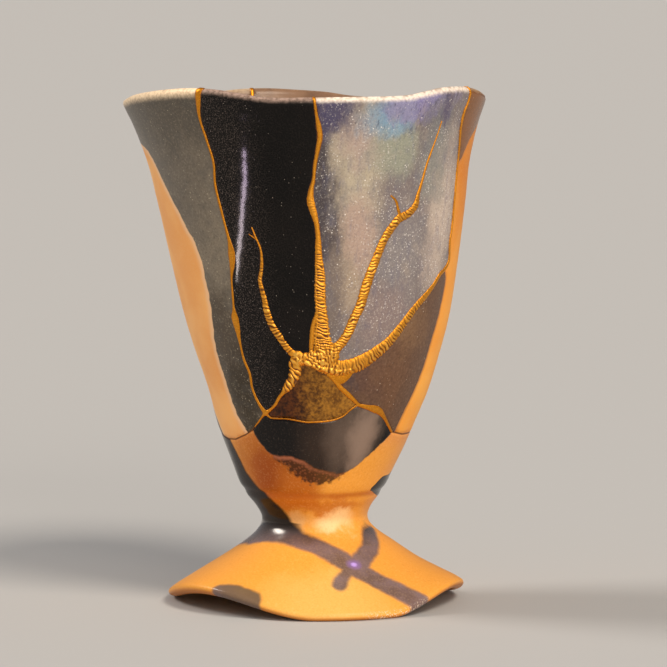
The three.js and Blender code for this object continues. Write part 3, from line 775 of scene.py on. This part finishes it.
def goldHeights(runs, turns, rises):
    total = np.zeros((len(rises), len(turns)))
    highest, folds = np.full(total.shape, -9.0), np.zeros(total.shape)
    calm = 1 - 0.4 * hubShare(turns[None, :], rises[:, None])
    for run in runs:
        touched, facts = nearestOnRun(run, turns, rises)
        high, fold = goldSection(run, *facts, calm[touched])
        total[touched] += np.exp(np.clip(high, -2, 2) / goldSkin["blend"])
        folds[touched] = np.where(high > highest[touched], fold, folds[touched])
        highest[touched] = np.maximum(highest[touched], high)
    return np.where(total > 0, goldSkin["blend"] * np.log(np.maximum(total, 1e-30)), -1), folds


def hubShare(turn, rise):
    middle, wide, level, high = goldSkin["hub"]
    return np.exp(-(((turn - middle) / wide) ** 4 + ((rise - level) / high) ** 4))


def wrinkle(turn, rise):
    # the folded skin of the thick gold where the joins meet: slanting folds on the left, upright ones on the
    # right and pebbles above
    x, y = turn * 0.62, rise * 1.45
    warp = 0.35 * np.sin(1.3 * x + 0.9 * y) + 0.22 * np.sin(2.9 * y - 1.7 * x)
    slanting = np.abs(np.sin(math.pi * (0.50 * x + 0.86 * y + warp) / 1.25)) ** goldSkin["sharp"]
    upright = np.abs(np.sin(math.pi * (x + 0.12 * y + 0.5 * warp) / 0.95)) ** goldSkin["sharp"]
    pebbles = np.abs(np.sin(4.3 * x + 2 * warp) * np.sin(3.9 * y + 3 * warp)) ** 0.5
    right = np.clip((x - 1.6) / 1.6, 0, 1)
    above = np.clip((rise - 51.0) / 1.6, 0, 1)
    fold = (slanting * (1 - right) + upright * right) * (1 - above) + pebbles * above
    return goldSkin["folds"] * (fold - 0.56) * hubShare(turn, rise)


def makeGold(name, runs, bounds, nodes):
    left, right, bottom = bounds
    columns = int((right - left) / goldSkin["turnStep"])
    rows = int((topRise - bottom) / goldSkin["riseStep"])
    turns, rises = np.linspace(left, right, columns + 1), np.linspace(bottom, topRise, rows + 1)
    high, folds = goldHeights(runs, turns, rises)
    extra = np.where(high > goldSkin["folded"], wrinkle(turns[None, :], rises[:, None]), 0)
    high, folds = high + extra, folds + extra

    bm = layGrid(left, right, bottom, topRise, columns, rows)
    layers = [bm.verts.layers.float.new(key) for key in ("high", "fold")]
    stepX, stepY = (right - left) / columns, (topRise - bottom) / rows
    bare = []
    for vert in bm.verts:
        place = round((vert.co.y - bottom) / stepY), round((vert.co.x - left) / stepX)
        vert[layers[0]], vert[layers[1]] = high[place], folds[place]
        if high[place] < goldSkin["dip"]:
            bare.append(vert)
    bmesh.ops.delete(bm, geom=bare, context="VERTS")
    bmesh.ops.delete(bm, geom=[vert for vert in bm.verts if not vert.link_faces], context="VERTS")
    mesh = doubled(bm, name)
    turn, rise, inner = readVector(mesh).T
    high = readFloat(mesh, "high")
    raised = np.where(inner > 0.5, np.clip(high, -1, 0.16) * 0.8, high)  # the inner face is lower and even
    return finishMesh(name, mesh, distort(turn, *bowlPoint(rise, inner, raised)), nodes)


gold = {
    "front": makeGold("goldJoins", goldRuns.values(), goldSkin["front"], ["gold_seams"]),
    "back": makeGold("goldJoinBack", [backRun], goldSkin["back"], ["back_gold_seam"]),
}


# Materials.

class Field:
    def __init__(self, tree, socket):
        self.tree = tree
        self.socket = socket

    def math(self, operation, *values, swap=False):
        node = self.tree.nodes.new("ShaderNodeMath")
        node.operation = operation
        given = [self, *values]
        if swap:
            given = given[::-1]
        for socket, value in zip(node.inputs, given):
            plug(self.tree, socket, value)
        return Field(self.tree, node.outputs[0])

    def __add__(self, other):
        return self.math("ADD", other)

    def __sub__(self, other):
        return self.math("SUBTRACT", other)

    def __mul__(self, other):
        return self.math("MULTIPLY", other)

    def __truediv__(self, other):
        return self.math("DIVIDE", other)

    def __rsub__(self, other):
        return self.math("SUBTRACT", other, swap=True)

    __radd__ = __add__

    def ramp(self, low, high):
        # 0 at low, 1 at high, eased between
        node = self.tree.nodes.new("ShaderNodeMapRange")
        node.interpolation_type = "SMOOTHSTEP"
        for key, value in zip(("Value", "From Min", "From Max"), (self, low, high)):
            plug(self.tree, node.inputs[key], value)
        return Field(self.tree, node.outputs[0])


def plug(tree, socket, value):
    if isinstance(value, Field):
        tree.links.new(value.socket, socket)
    elif isinstance(value, tuple) and len(value) == 3 and socket.type == "RGBA":
        socket.default_value = (*value, 1)
    else:
        socket.default_value = value


class Finish:
    def __init__(self, name):
        self.material = bpy.data.materials.new(name)
        self.material.use_nodes = True
        self.tree = self.material.node_tree
        self.shader = self.tree.nodes["Principled BSDF"]
        self.place = self.node("TexCoord", {}, {}, "Object")

    def node(self, kind, settings, inputs, output=0):
        made = self.tree.nodes.new("ShaderNode" + kind)
        for key, value in settings.items():
            setattr(made, key, value)
        for key, value in inputs.items():
            plug(self.tree, made.inputs[key], value)
        return Field(self.tree, made.outputs[output])

    def attribute(self, name):
        return self.node("Attribute", {"attribute_name": name}, {}, "Fac")

    def noise(self, size, detail=2.0, rough=0.5, stretch=None, seed=0.0):
        # size is the grain in millimetres
        place = self.place
        if stretch or seed:
            place = self.node("Mapping", {}, {"Vector": place, "Scale": stretch or (1, 1, 1),
                                              "Location": (seed, 0.7 * seed, 0.3 * seed)})
        inputs = {"Vector": place, "Scale": 1000 / size, "Detail": detail, "Roughness": rough}
        return self.node("TexNoise", {}, inputs, "Fac")

    def cells(self, size):
        return self.node("TexVoronoi", {}, {"Vector": self.place, "Scale": 1000 / size}, "Distance")

    def mix(self, share, first, second):
        made = self.tree.nodes.new("ShaderNodeMix")
        made.data_type = "RGBA"
        plug(self.tree, made.inputs[0], share)
        plug(self.tree, made.inputs[6], first)
        plug(self.tree, made.inputs[7], second)
        return Field(self.tree, made.outputs[2])

    def bump(self, height, depth, strength=1.0, over=None):
        # height is 0 to 1 and depth what that is in millimetres
        inputs = {"Height": height, "Distance": depth * mm, "Strength": strength}
        if over:
            inputs["Normal"] = over
        return self.node("Bump", {}, inputs)

    def hold(self, socket, value):
        # a value that is the same all over
        self.shader.inputs[socket].default_value = value

    def close(self, **inputs):
        for key, value in inputs.items():
            plug(self.tree, self.shader.inputs[key.replace("_", " ")], value)
        return self.material


colours = {
    "clay": (0.84, 0.365, 0.095),
    "clayDeep": (0.72, 0.26, 0.045),
    "clayPale": (0.90, 0.56, 0.27),
    "innerClay": (0.27, 0.16, 0.10),
    "innerDark": (0.15, 0.085, 0.055),
    "lacquerLine": (0.17, 0.055, 0.012),
    "breakLine": (0.10, 0.035, 0.012),
}


def clayColour(finish, clay=colours["clay"], deep=colours["clayDeep"]):
    slow = finish.noise(14, 3)
    grain = finish.noise(0.6, 3, 0.65)
    colour = finish.mix(slow.ramp(0.35, 0.7), deep, clay)
    return finish.mix(grain.ramp(0.45, 0.8) * 0.3, colour, colours["clayPale"])


def innerColour(finish, outer):
    mottled = finish.mix(finish.noise(7, 4).ramp(0.35, 0.7), colours["innerDark"], colours["innerClay"])
    return finish.mix(finish.attribute("inner").ramp(0.4, 0.6), outer, mottled)


def lipColour(finish, under, pale, worn, clear, gone):
    # the glaze runs thin at the lip: all pale down to clear mm below its crest, none of it from gone on
    ragged = finish.noise(0.8, 3)
    line = 1 - finish.attribute("lipBelow").math("ADD", (ragged - 0.5) * 0.8).ramp(clear, gone)
    line = line * (1 - finish.attribute("inner") * 0.6)
    return finish.mix(line, under, finish.mix(ragged.ramp(0.4, 0.7), pale, worn)), line


def seamMargin(finish, under):
    ragged = (finish.noise(0.8, 2) - 0.5) * 0.4
    near = 1 - finish.attribute("seamGap").math("ADD", ragged).ramp(0.0, 0.3)
    outside = 1 - finish.attribute("inner")
    lined = finish.mix(near * outside * 0.6, under, colours["lacquerLine"])
    crackLine = 1 - finish.attribute("breakGap").ramp(0.08, 0.35)
    return finish.mix(crackLine * 0.85, lined, colours["breakLine"])


def clouded(finish, under, clouds, wander=1.0):
    # soft patches of colour on the wall: turn, rise, half width in degrees, half height in percent, colour
    turn = finish.attribute("turn") + (finish.noise(7, 5, 0.66, (1, 1, 0.6), 2.0) - 0.5) * (30 * wander)
    rise = finish.attribute("rise") + (finish.noise(7, 5, 0.66, (1, 1, 0.6), 5.0) - 0.5) * (24 * wander)
    for atTurn, atRise, wide, high, colour in clouds:
        across, up = (turn - atTurn) / wide, (rise - atRise) / high
        under = finish.mix(1 - (across * across + up * up).ramp(-0.3, 2.3), under, colour)
    return under


greyLook = {
    "clouds": [
        (-60, 97, 60, 7, (0.102, 0.086, 0.066)), (-40, 72, 16, 14, (0.215, 0.178, 0.132)),
        (-62, 82, 20, 8, (0.155, 0.130, 0.100)), (-42, 52, 14, 8, (0.082, 0.061, 0.042)),
        (-40, 42, 12, 6, (0.035, 0.024, 0.012)),
    ],
}


def greyGlaze():
    finish = Finish("greyGlaze")
    glaze = clouded(finish, (0.12, 0.10, 0.077), greyLook["clouds"])
    fine = finish.noise(0.6, 4, 0.68)
    glaze = finish.mix(fine.ramp(0.52, 0.70) * 0.4, glaze, (0.36, 0.31, 0.23))
    glaze = finish.mix((1 - fine.ramp(0.34, 0.48)) * 0.4, glaze, (0.050, 0.044, 0.034))
    glaze = finish.mix(finish.noise(3.2, 3).ramp(0.45, 0.7) * 0.3, glaze, (0.08, 0.075, 0.068))
    speck = 1 - finish.cells(1.0).ramp(0.10, 0.22)
    glaze = finish.mix(speck * finish.noise(3, 2).ramp(0.48, 0.62) * 0.6, glaze, (0.60, 0.52, 0.38))
    ragged = (finish.noise(2.2, 3) - 0.5) * 0.9
    edge = finish.attribute("bare") + ragged
    clay = clayColour(finish, (0.97, 0.50, 0.165), (0.90, 0.40, 0.110))
    clay = finish.mix(1 - edge.ramp(0.3, 2.4), clay, (0.90, 0.55, 0.30))
    isBare = edge.ramp(-0.15, 0.25)
    colour = finish.mix(isBare, glaze, clay)
    colour = innerColour(finish, colour)
    colour, lip = lipColour(finish, colour, (1.0, 0.79, 0.54), (0.78, 0.58, 0.38), 1.1, 3.4)
    colour = seamMargin(finish, colour)
    rough = 0.36 + isBare * 0.14 + lip * 0.1
    normal = finish.bump(fine * 0.7 + speck * 0.3, 0.03)
    finish.hold("Specular IOR Level", 0.3)
    return finish.close(Base_Color=colour, Roughness=rough, Normal=normal)


def blackGlaze():
    finish = Finish("blackGlaze")
    turn, rise = finish.attribute("turn"), finish.attribute("rise")
    glaze = finish.mix(finish.noise(18, 2).ramp(0.35, 0.7), (0.0018, 0.0013, 0.0011), (0.005, 0.0035, 0.0028))
    dust = finish.noise(0.30, 3, 0.62)
    dusty = (1 - turn.ramp(-30, -12)) * 0.62 + 0.07
    glaze = finish.mix(dust.ramp(0.50, 0.70) * dusty, glaze, (0.17, 0.135, 0.12))
    speck = 1 - finish.cells(1.1).ramp(0.05, 0.13)
    some = finish.noise(1.9, 1).ramp(0.5, 0.6)
    glaze = finish.mix(speck * some * 0.7, glaze, (0.50, 0.44, 0.38))
    colour = innerColour(finish, glaze)
    colour, lip = lipColour(finish, colour, (0.42, 0.30, 0.25), (0.26, 0.18, 0.145), 0.3, 2.1)
    colour = seamMargin(finish, colour)
    normal = finish.bump(finish.noise(0.5, 2), 0.010, 0.8)
    normal = finish.bump(speck, 0.02, 0.8, normal)
    rough = 0.10 + (1 - rise.ramp(50, 64)) * 0.2 + rise.ramp(98, 99.5) * 0.4 + finish.attribute("inner") * 0.2
    finish.hold("Specular IOR Level", 0.18)
    return finish.close(Base_Color=colour, Roughness=rough, Normal=normal)


blueLook = {
    "ground": (0.20, 0.165, 0.158),
    "clouds": [
        (3, 82, 7, 30, (0.050, 0.040, 0.046)), (17.5, 86, 8, 14, (0.46, 0.395, 0.295)),
        (15, 66, 7, 9, (0.38, 0.295, 0.215)), (19, 92, 6, 5, (0.43, 0.330, 0.285)),
        (17, 74, 6, 6, (0.43, 0.310, 0.255)), (30, 90, 9, 6, (0.31, 0.325, 0.255)),
        (7, 97.5, 8, 5, (0.065, 0.055, 0.125)), (28, 96.5, 9, 4, (0.22, 0.36, 0.50)),
        (42, 99, 14, 3.4, (0.25, 0.225, 0.45)), (36, 70, 10, 9, (0.24, 0.215, 0.215)),
        # the pale patch at turn 56, beside the join, is a painted sheen, a painted reflection
        (50, 90, 7, 8, (0.16, 0.155, 0.170)), (56, 76, 8, 14, (0.54, 0.44, 0.37)),
        (50, 86, 7, 7, (0.24, 0.235, 0.215)), (30, 58, 12, 6, (0.25, 0.190, 0.180)),
        (7, 62, 5, 8, (0.19, 0.150, 0.130)), (51.5, 97, 2.2, 4.0, (0.10, 0.080, 0.14)),
        (33, 98, 5, 2.5, (0.28, 0.27, 0.44)),
    ],
}


def blueGlaze():
    finish = Finish("blueLustreGlaze")
    turn, rise = finish.attribute("turn"), finish.attribute("rise")
    glaze = clouded(finish, blueLook["ground"], blueLook["clouds"], 0.55)
    combed = finish.noise(1.5, 3, 0.6, (1, 1, 0.2))
    glaze = finish.mix(combed.ramp(0.5, 0.75) * 0.32, glaze, (0.12, 0.12, 0.20))
    mottle = finish.noise(4.0, 4, 0.65, (1, 1, 0.6), 9.0)
    glaze = finish.mix(mottle.ramp(0.5, 0.72) * 0.30, glaze, (0.42, 0.34, 0.27))
    glaze = finish.mix((1 - mottle.ramp(0.3, 0.48)) * 0.30, glaze, (0.13, 0.13, 0.17))
    fine = finish.noise(0.5, 3, 0.6)
    glaze = finish.mix(fine.ramp(0.52, 0.72) * 0.34, glaze, (0.56, 0.52, 0.48))
    glaze = finish.mix((1 - fine.ramp(0.32, 0.48)) * 0.34, glaze, (0.09, 0.085, 0.11))
    hair = finish.noise(0.8, 2, 0.5, (1, 1, 0.1)).ramp(0.62, 0.70) * rise.ramp(88, 95)
    glaze = finish.mix(hair * 0.5, glaze, (0.05, 0.045, 0.07))
    # glaze bubbles, painted white together with their highlights
    bubbleAndGlint = 1 - finish.cells(1.15).ramp(0.08, 0.20)
    some = finish.noise(2.6, 2).ramp(0.52, 0.62)
    glaze = finish.mix(bubbleAndGlint * some * 0.85, glaze, (0.95, 0.90, 0.85))
    # painted sparkle: pale grains that stand in for glints, in patches, more of them past turn 12 and below rise 82
    sparkleWhere = turn.ramp(12, 24) * (1 - rise.ramp(82, 92)) * 0.10 + finish.noise(6, 2)
    paintedSparkle = (1 - finish.cells(0.72).ramp(0.10, 0.30)) * sparkleWhere.ramp(0.50, 0.62)
    glaze = finish.mix(paintedSparkle * 0.55, glaze, (0.92, 0.88, 0.84))
    colour = innerColour(finish, glaze)
    colour, lip = lipColour(finish, colour, (0.94, 0.84, 0.74), (0.80, 0.64, 0.50), 0.7, 2.3)
    colour = seamMargin(finish, colour)
    normal = finish.bump(finish.noise(2.0, 3), 0.04, 0.7)
    normal = finish.bump(bubbleAndGlint * some + paintedSparkle * 0.5, 0.03, 0.9, normal)
    rough = 0.24 + lip * 0.25 + finish.attribute("inner") * 0.2
    finish.hold("Specular IOR Level", 0.35)
    return finish.close(Base_Color=colour, Roughness=rough, Normal=normal)


brownLook = {
    "clouds": [
        (40, 54, 12, 5, (0.20, 0.112, 0.060)), (28, 47, 12, 5, (0.115, 0.062, 0.046)),
        (38, 45, 10, 5, (0.15, 0.078, 0.045)), (70, 95, 20, 12, (0.235, 0.085, 0.015)),
        (14, 46, 5, 3, (0.085, 0.055, 0.052)),
    ],
}


def brownGlaze():
    finish = Finish("brownGlaze")
    rise = finish.attribute("rise")
    glaze = clouded(finish, (0.13, 0.072, 0.045), brownLook["clouds"])
    fine = finish.noise(0.7, 3, 0.6)
    glaze = finish.mix(fine.ramp(0.5, 0.75) * 0.25, glaze, (0.30, 0.20, 0.13))
    glaze = finish.mix((1 - fine.ramp(0.3, 0.5)) * 0.35, glaze, (0.05, 0.028, 0.020))
    speck = 1 - finish.cells(1.3).ramp(0.05, 0.16)
    glaze = finish.mix(speck * finish.noise(2.6, 1).ramp(0.5, 0.6) * 0.7, glaze, (0.6, 0.5, 0.4))
    ragged = (finish.noise(2.2, 3) - 0.5) * 0.8
    edge = finish.attribute("bare") + ragged
    high = rise.ramp(52, 88)
    clay = clayColour(finish, finish.mix(high, (1.0, 0.46, 0.062), (0.78, 0.275, 0.018)),
                      finish.mix(high, (0.96, 0.38, 0.038), (0.70, 0.220, 0.010)))
    clay = finish.mix(1 - edge.ramp(0.1, 1.4), clay, (0.62, 0.22, 0.04))
    isBare = edge.ramp(-0.15, 0.25)
    colour = finish.mix(isBare, glaze, clay)
    colour = innerColour(finish, colour)
    colour, lip = lipColour(finish, colour, (0.50, 0.32, 0.18), (0.30, 0.18, 0.09), 0.5, 1.6)
    colour = seamMargin(finish, colour)
    rough = 0.26 + isBare * 0.24 + lip * 0.2
    normal = finish.bump(finish.noise(1.2, 3), 0.03)
    finish.hold("Specular IOR Level", 0.2)
    return finish.close(Base_Color=colour, Roughness=rough, Normal=normal)


footLook = {
    "ground": (0.84, 0.36, 0.050),
    "clouds": [
        (-30, 27, 30, 8, (0.42, 0.105, 0.006)), (-34, 26, 12, 4, (0.34, 0.070, 0.003)),
        (-12, 24, 16, 3, (0.50, 0.135, 0.010)),
        (-12, 20.6, 34, 1.6, (0.60, 0.165, 0.010)), (20, 19.5, 24, 1.4, (0.66, 0.230, 0.035)),
        # the two pale patches at the waist are paler clay with a painted highlight on it
        (22, 16.6, 20, 2.0, (0.96, 0.64, 0.310)), (-20, 16.5, 12, 1.6, (0.80, 0.42, 0.150)),
        (4, 3.5, 24, 5, (0.86, 0.46, 0.110)),
    ],
    # a grey-brown patch of the poured glaze, then two violet spots that are a painted highlight
    "pourCloudsAndHighlight": [
        (-30, 4, 14, 4, (0.110, 0.088, 0.058)), (23.5, 9.2, 4.2, 0.7, (0.20, 0.135, 0.40)),
        (23.5, 9.2, 1.8, 0.3, (0.50, 0.36, 0.95)),
    ],
    # the lobe's dark glaze: the first patch is darker glaze, the two pale ones on its right are a painted sheen, a
    # painted reflection
    "lobeCloudsAndSheen": [
        (6, 33, 16, 7, (0.032, 0.019, 0.013)), (24, 34, 16, 7, (0.125, 0.088, 0.068)),
        (29, 33.5, 9, 6, (0.26, 0.185, 0.145)),
    ],
}


def footClay():
    finish = Finish("orangeClay")
    rise = finish.attribute("rise")
    grain = finish.noise(0.55, 3, 0.6)
    colour = finish.mix(rise.ramp(29, 35), footLook["ground"], clayColour(finish))
    colour = clouded(finish, colour, footLook["clouds"], 0.35)
    colour = finish.mix(grain.ramp(0.5, 0.75) * 0.22, colour, (0.95, 0.60, 0.26))
    colour = finish.mix((1 - grain.ramp(0.3, 0.5)) * 0.16, colour, (0.45, 0.13, 0.02))
    # painted shade: the clay darkened along the lowest edge of the foot, where it meets the floor
    colour = finish.mix((1 - rise.ramp(0.2, 1.0)) * 0.7, colour, (0.45, 0.12, 0.015))
    # painted shade: the clay darkened along the crease where the bowl meets the stem
    crease = rise.math("SUBTRACT", 21.9).math("ABSOLUTE").ramp(0.1, 1.1)
    colour = finish.mix((1 - crease) * 0.6, colour, (0.50, 0.120, 0.014))
    ragged = (finish.noise(1.6, 3) - 0.5) * 1.0
    crawl = (finish.attribute("crawl") + (finish.noise(1.1, 3) - 0.5) * 4).ramp(-0.4, 1.0)
    weave = finish.cells(0.75).ramp(0.25, 0.55)
    colour = finish.mix(crawl * 0.9, colour, finish.mix(weave, (0.13, 0.040, 0.018), (0.026, 0.007, 0.003)))
    lobeEdge = finish.attribute("lobe") + ragged
    lobe = lobeEdge.ramp(-0.25, 0.3)
    # the lobe's dark glaze, with the painted sheen on its right
    dark = clouded(finish, (0.0045, 0.0030, 0.0028), footLook["lobeCloudsAndSheen"], 0.45)
    dust = finish.noise(0.5, 3, 0.62).ramp(0.55, 0.75) * 0.22
    colour = finish.mix(lobe, colour, finish.mix(dust, dark, (0.20, 0.15, 0.12)))
    blush = lobeEdge.ramp(-1.4, -0.3) * (1 - lobeEdge.ramp(-0.3, 0.5)) * crawl
    leftward = 1 - finish.attribute("turn").ramp(-16, 2)
    colour = finish.mix(blush * (leftward * 0.5 + 0.25), colour, (0.46, 0.155, 0.080))
    pour = (finish.attribute("pour") + ragged * 0.5 + (finish.noise(5, 3) - 0.5) * 1.0).ramp(-0.8, 0.7)
    poured = finish.mix(finish.noise(5, 3).ramp(0.3, 0.7), (0.100, 0.076, 0.080), (0.155, 0.122, 0.155))
    poured = finish.mix(grain.ramp(0.45, 0.7) * 0.4, poured, (0.30, 0.20, 0.16))
    # the poured glaze's grey-brown patch and its painted violet highlight
    poured = clouded(finish, poured, footLook["pourCloudsAndHighlight"], 0.06)
    poured = finish.mix(rise.ramp(11, 16), poured, (0.010, 0.008, 0.007))
    colour = finish.mix(pour * (0.92 + rise.ramp(11, 16) * 0.07), colour, poured)
    # painted glints: pale grains along the lowest edge of the foot round turn 34, standing in for highlights
    paintedGlint = finish.noise(0.45, 2, 0.6).ramp(0.55, 0.62) * (1 - rise.ramp(0.9, 1.9))
    aside = finish.attribute("turn").math("SUBTRACT", 34).math("ABSOLUTE").ramp(8, 18)
    colour = finish.mix(paintedGlint * (1 - aside) * 0.7, colour, (1.0, 0.85, 0.66))
    chip = (finish.attribute("chip") + ragged * 0.4).ramp(-0.1, 0.2)
    colour = finish.mix(chip, colour, (0.012, 0.010, 0.008))
    colour = innerColour(finish, colour)
    colour = seamMargin(finish, colour)
    glazed = lobe.math("MAXIMUM", pour).math("MAXIMUM", chip)
    rough = 0.40 - glazed * 0.25
    normal = finish.bump(grain, 0.03)
    normal = finish.bump(glazed, 0.10, 0.8, normal)
    finish.hold("Coat Roughness", 0.2)
    wet = pour * rise.ramp(11, 13) * (1 - rise.ramp(15.2, 16.4))
    finish.hold("Specular IOR Level", 0.24)
    return finish.close(Base_Color=colour, Roughness=rough, Normal=normal, Coat_Weight=wet)


def amberLacquer():
    finish = Finish("amberLacquer")
    turn = finish.attribute("turn")
    slow = finish.noise(3.2, 5, 0.68)
    fine = finish.noise(0.8, 3)
    olive = finish.mix((slow * 0.6 + fine * 0.4).ramp(0.34, 0.66), (0.12, 0.046, 0.005), (0.37, 0.165, 0.018))
    red = finish.mix((slow * 0.6 + fine * 0.4).ramp(0.34, 0.66), (0.020, 0.005, 0.001), (0.105, 0.028, 0.004))
    colour = finish.mix((turn + (slow - 0.5) * 20).ramp(-14, 4), red, olive)
    colour = innerColour(finish, colour)
    normal = finish.bump(finish.noise(1.6, 3), 0.05, 0.7)
    finish.hold("Specular IOR Level", 0.25)
    return finish.close(Base_Color=colour, Roughness=0.20, Normal=normal)


def goldFinish():
    finish = Finish("goldPowder")
    high, fold = finish.attribute("high"), finish.attribute("fold")
    grain = finish.noise(0.28, 3, 0.6)
    colour = finish.mix(grain.ramp(0.35, 0.7), (0.62, 0.225, 0.012), (0.86, 0.365, 0.030))
    # painted highlight: the gold's crown and the tops of its ridges painted brighter
    colour = finish.mix(high.ramp(0.12, 0.26) * 0.35, colour, (1.0, 0.50, 0.07))
    colour = finish.mix(fold.ramp(0.03, 0.13) * 0.85, colour, (1.0, 0.57, 0.11))
    hollow = 1 - fold.ramp(-0.13, 0.02)
    colour = finish.mix(hollow * 0.94, colour, (0.085, 0.020, 0.002))
    rim = 1 - high.ramp(-0.03, 0.07)
    colour = finish.mix(rim, colour, colours["lacquerLine"])
    metal = (1 - rim * 0.9) * (1 - hollow * 0.6)
    rough = 0.42 + grain * 0.12
    normal = finish.bump(grain, 0.015, 0.8)
    return finish.close(Base_Color=colour, Metallic=metal, Roughness=rough, Normal=normal)


finishes = {
    "grey_sherd": greyGlaze(),
    "black_sherd": blackGlaze(),
    "blue_sherd": blueGlaze(),
    "brown_sherd": brownGlaze(),
    "foot_sherd": footClay(),
    "lacquer_fill": amberLacquer(),
}
for name, piece in clay.items():
    piece.data.materials.append(finishes[name])
goldMaterial = goldFinish()
for piece in gold.values():
    piece.data.materials.append(goldMaterial)
print("finishes done")


# Floor, light and camera.

studio = {
    "camera": (0.0, -1140.0, 177.0),  # from the foot of the stem's axis, in mm
    "tilt": 5.204,  # degrees down
    "swing": 0.240,  # degrees to the right of the axis
    "lens": 226.1,
    "floorHalf": 60.0,  # metres
    "floorColour": (0.50, 0.51, 0.52),
    "sky": ((0.95, 0.96, 1.0), 0.22),
    "suns": [  # name, turn round from the front, height in degrees, width in degrees, strength, colour
        ("key", 38, 50, 20, 2.0, (1.0, 0.87, 0.72)),
        ("front", 18, 14, 34, 1.7, (1.0, 0.88, 0.74)),
        ("left", -100, 40, 20, 1.6, (1.0, 0.90, 0.80)),
    ],
    "streak": {  # the lit line mirrored in the black glaze
        "line": [  # where it shows: rise, turn
            (65.6, -32.8), (68.2, -31.1), (73.3, -27.9), (78.3, -25.7), (83.1, -23.5), (86.5, -22.5), (88.3, -21.7),
        ],
        "parts": 12,
        "reach": 35,  # from the wall to the light, in mm
        "wide": 2.4,
        "brightness": 31.0,
        "low": (1.0, 0.85, 0.82),  # its colour from its low end to its high one
        "top": (0.95, 0.72, 1.0),
    },
}


def softSun(name, turn, high, wide, strength, colour):
    light = bpy.data.lights.new(name, "SUN")
    light.energy = strength
    light.angle = wide * degree
    light.color = colour
    sun = bpy.data.objects.new(name, light)
    flat = math.cos(high * degree)
    toward = Vector((flat * math.sin(turn * degree), -flat * math.cos(turn * degree), math.sin(high * degree)))
    sun.location = toward * 1.5
    sun.rotation_euler = toward.to_track_quat("Z", "Y").to_euler()
    bpy.context.scene.collection.objects.link(sun)


def wallPlace(turn, rise):
    none = np.zeros(len(rise))
    return distort(turn, *bowlPoint(rise, none, none))


def litLine():
    # a thin bent light, hung so that the black glaze mirrors it toward the camera as the straight pale streak
    look = studio["streak"]
    atRise, atTurn = np.array(look["line"], float).T
    rise = np.linspace(atRise[0], atRise[-1], look["parts"] + 1)
    turn = np.interp(rise, atRise, atTurn)
    wall = wallPlace(turn, rise)
    across = wallPlace(turn + 0.1, rise) - wallPlace(turn - 0.1, rise)
    outward = np.cross(across, wallPlace(turn, rise + 0.1) - wallPlace(turn, rise - 0.1))
    outward /= np.linalg.norm(outward, axis=1)[:, None]
    sight = wall - (np.array(studio["camera"]) + (form["lean"], 0, 0)) * mm
    sight /= np.linalg.norm(sight, axis=1)[:, None]
    mirrored = sight - 2 * (sight * outward).sum(1)[:, None] * outward
    hung = wall + mirrored * look["reach"] * mm
    mirror = bpy.data.collections.new("streakMirror")  # no other piece shows these lights
    mirror.objects.link(clay["black_sherd"])
    for i, (begin, end, away) in enumerate(zip(hung, hung[1:], mirrored + np.roll(mirrored, -1, 0))):
        along = Vector(end - begin)
        back = Vector(away)
        back = (back - back.project(along)).normalized()
        light = bpy.data.lights.new("streak", "AREA")
        light.shape = "RECTANGLE"
        light.size, light.size_y = along.length, look["wide"] * mm
        light.energy = look["brightness"] * math.pi * light.size * light.size_y
        light.color = Vector(look["low"]).lerp(Vector(look["top"]), i / look["parts"])
        strip = bpy.data.objects.new("streak", light)
        strip.light_linking.receiver_collection = mirror
        axes = Matrix([along.normalized(), back.cross(along.normalized()), back]).transposed().to_4x4()
        strip.matrix_world = Matrix.Translation(Vector((begin + end) / 2)) @ axes
        strip.visible_camera = False
        strip.visible_diffuse = False
        bpy.context.scene.collection.objects.link(strip)


def makeStudio():
    bm = bmesh.new()
    bmesh.ops.create_grid(bm, x_segments=1, y_segments=1, size=studio["floorHalf"])
    mesh = bpy.data.meshes.new("floor")
    bm.to_mesh(mesh)
    bm.free()
    floor = bpy.data.objects.new("floor", mesh)
    bpy.context.scene.collection.objects.link(floor)
    finish = Finish("paleFloor")
    finish.hold("Specular IOR Level", 0.2)
    mesh.materials.append(finish.close(Base_Color=studio["floorColour"], Roughness=0.7))
    world = bpy.data.worlds.new("studio")
    world.use_nodes = True
    tint, strength = studio["sky"]
    world.node_tree.nodes["Background"].inputs["Color"].default_value = (*tint, 1)
    world.node_tree.nodes["Background"].inputs["Strength"].default_value = strength
    bpy.context.scene.world = world
    for sun in studio["suns"]:
        softSun(*sun)
    litLine()


def makeCamera():
    data = bpy.data.cameras.new("camera")
    camera = bpy.data.objects.new("camera", data)
    x, y, z = studio["camera"]
    camera.location = ((form["lean"] + x) * mm, y * mm, z * mm)
    camera.rotation_euler = ((90 - studio["tilt"]) * degree, 0, -studio["swing"] * degree)
    data.lens = studio["lens"]
    data.sensor_width = 36
    data.clip_start = 0.05
    bpy.context.scene.collection.objects.link(camera)
    bpy.context.scene.camera = camera


makeStudio()
makeCamera()
bpy.context.scene.view_settings.view_transform = "Standard"
print("studio done")
